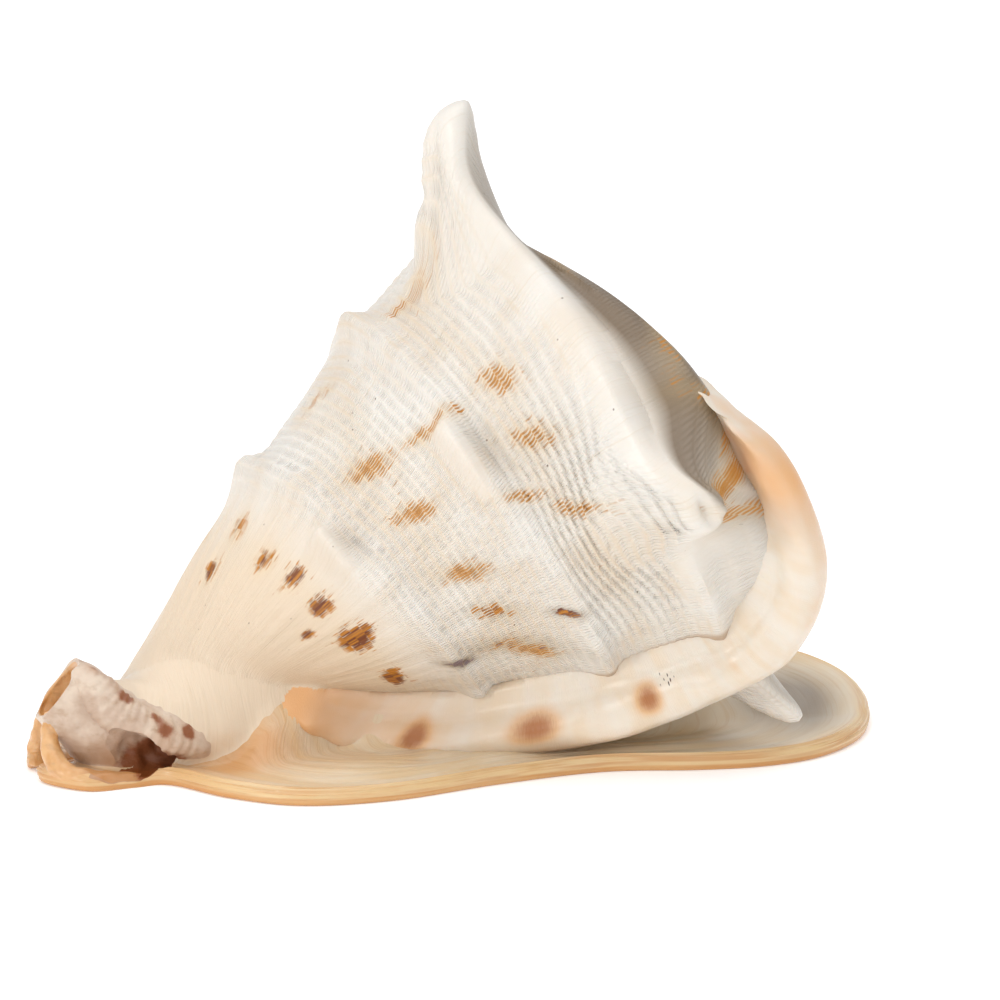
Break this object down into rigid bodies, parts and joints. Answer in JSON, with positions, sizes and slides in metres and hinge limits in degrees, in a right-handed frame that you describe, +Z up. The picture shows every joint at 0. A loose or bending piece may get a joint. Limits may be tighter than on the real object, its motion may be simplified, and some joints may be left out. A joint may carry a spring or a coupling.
{
  "type": "horned helmet shell",
  "caption": "Large horned sea snail shell lying on its aperture: conical body whorl with ridges and horns, thick old lip, flat base flange and upturned canal.",
  "frame": {"origin": "centre of the bounding box at the flat base that the shell rests on", "axes": "+X towards the spire, -X towards the siphonal canal; -Y towards the parietal shield side; +Z up, away from the aperture"},
  "size_m": [0.2452, 0.1918, 0.1813],
  "materials": {
    "shell": "satin, off-white with brown marks; lips and base glossy peach to orange"
  },
  "bodies": {
    "root": {"shell": "shell"}
  },
  "joints": []
}
